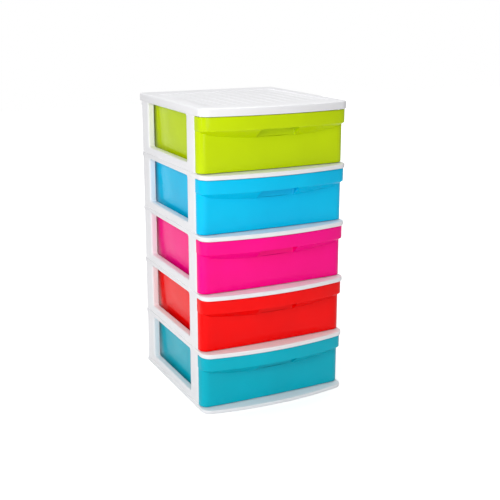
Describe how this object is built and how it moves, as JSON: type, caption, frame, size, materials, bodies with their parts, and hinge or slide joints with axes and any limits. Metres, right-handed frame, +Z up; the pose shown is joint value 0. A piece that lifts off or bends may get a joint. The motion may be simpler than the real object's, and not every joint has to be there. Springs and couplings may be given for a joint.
{
  "type": "plastic drawer tower",
  "caption": "Free-standing plastic tower of stacked pull-out drawers in a white frame with side windows, bowed front lips and a recessed top panel.",
  "frame": {"origin": "on the floor under the middle of the tower's box", "axes": "+Z up, -Y the front where the drawers pull out, +X to the right as seen from the front"},
  "size_m": [0.378, 0.415, 0.72],
  "materials": {
    "white_plastic": "satin moulded",
    "lime_plastic": "glossy moulded",
    "cyan_plastic": "glossy moulded",
    "pink_plastic": "glossy moulded",
    "red_plastic": "glossy moulded",
    "teal_plastic": "glossy moulded"
  },
  "bodies": {
    "tower_frame": {"top_cover": "white_plastic", "shelf_1": "white_plastic", "shelf_2": "white_plastic", "shelf_3": "white_plastic", "shelf_4": "white_plastic", "base": "white_plastic", "side_frame_left_1": "white_plastic", "side_frame_left_2": "white_plastic", "side_frame_left_3": "white_plastic", "side_frame_left_4": "white_plastic", "side_frame_left_5": "white_plastic", "side_frame_right_1": "white_plastic", "side_frame_right_2": "white_plastic", "side_frame_right_3": "white_plastic", "side_frame_right_4": "white_plastic", "side_frame_right_5": "white_plastic"},
    "drawer_1": {"drawer_1": "lime_plastic"},
    "drawer_2": {"drawer_2": "cyan_plastic"},
    "drawer_3": {"drawer_3": "pink_plastic"},
    "drawer_4": {"drawer_4": "red_plastic"},
    "drawer_5": {"drawer_5": "teal_plastic"}
  },
  "joints": [
    {"name": "drawer_1_slide", "type": "slide", "parent": "tower_frame", "child": "drawer_1", "axis": [0, -1, 0], "range_m": [0, 0.29]},
    {"name": "drawer_2_slide", "type": "slide", "parent": "tower_frame", "child": "drawer_2", "axis": [0, -1, 0], "range_m": [0, 0.29]},
    {"name": "drawer_3_slide", "type": "slide", "parent": "tower_frame", "child": "drawer_3", "axis": [0, -1, 0], "range_m": [0, 0.29]},
    {"name": "drawer_4_slide", "type": "slide", "parent": "tower_frame", "child": "drawer_4", "axis": [0, -1, 0], "range_m": [0, 0.29]},
    {"name": "drawer_5_slide", "type": "slide", "parent": "tower_frame", "child": "drawer_5", "axis": [0, -1, 0], "range_m": [0, 0.29]}
  ]
}
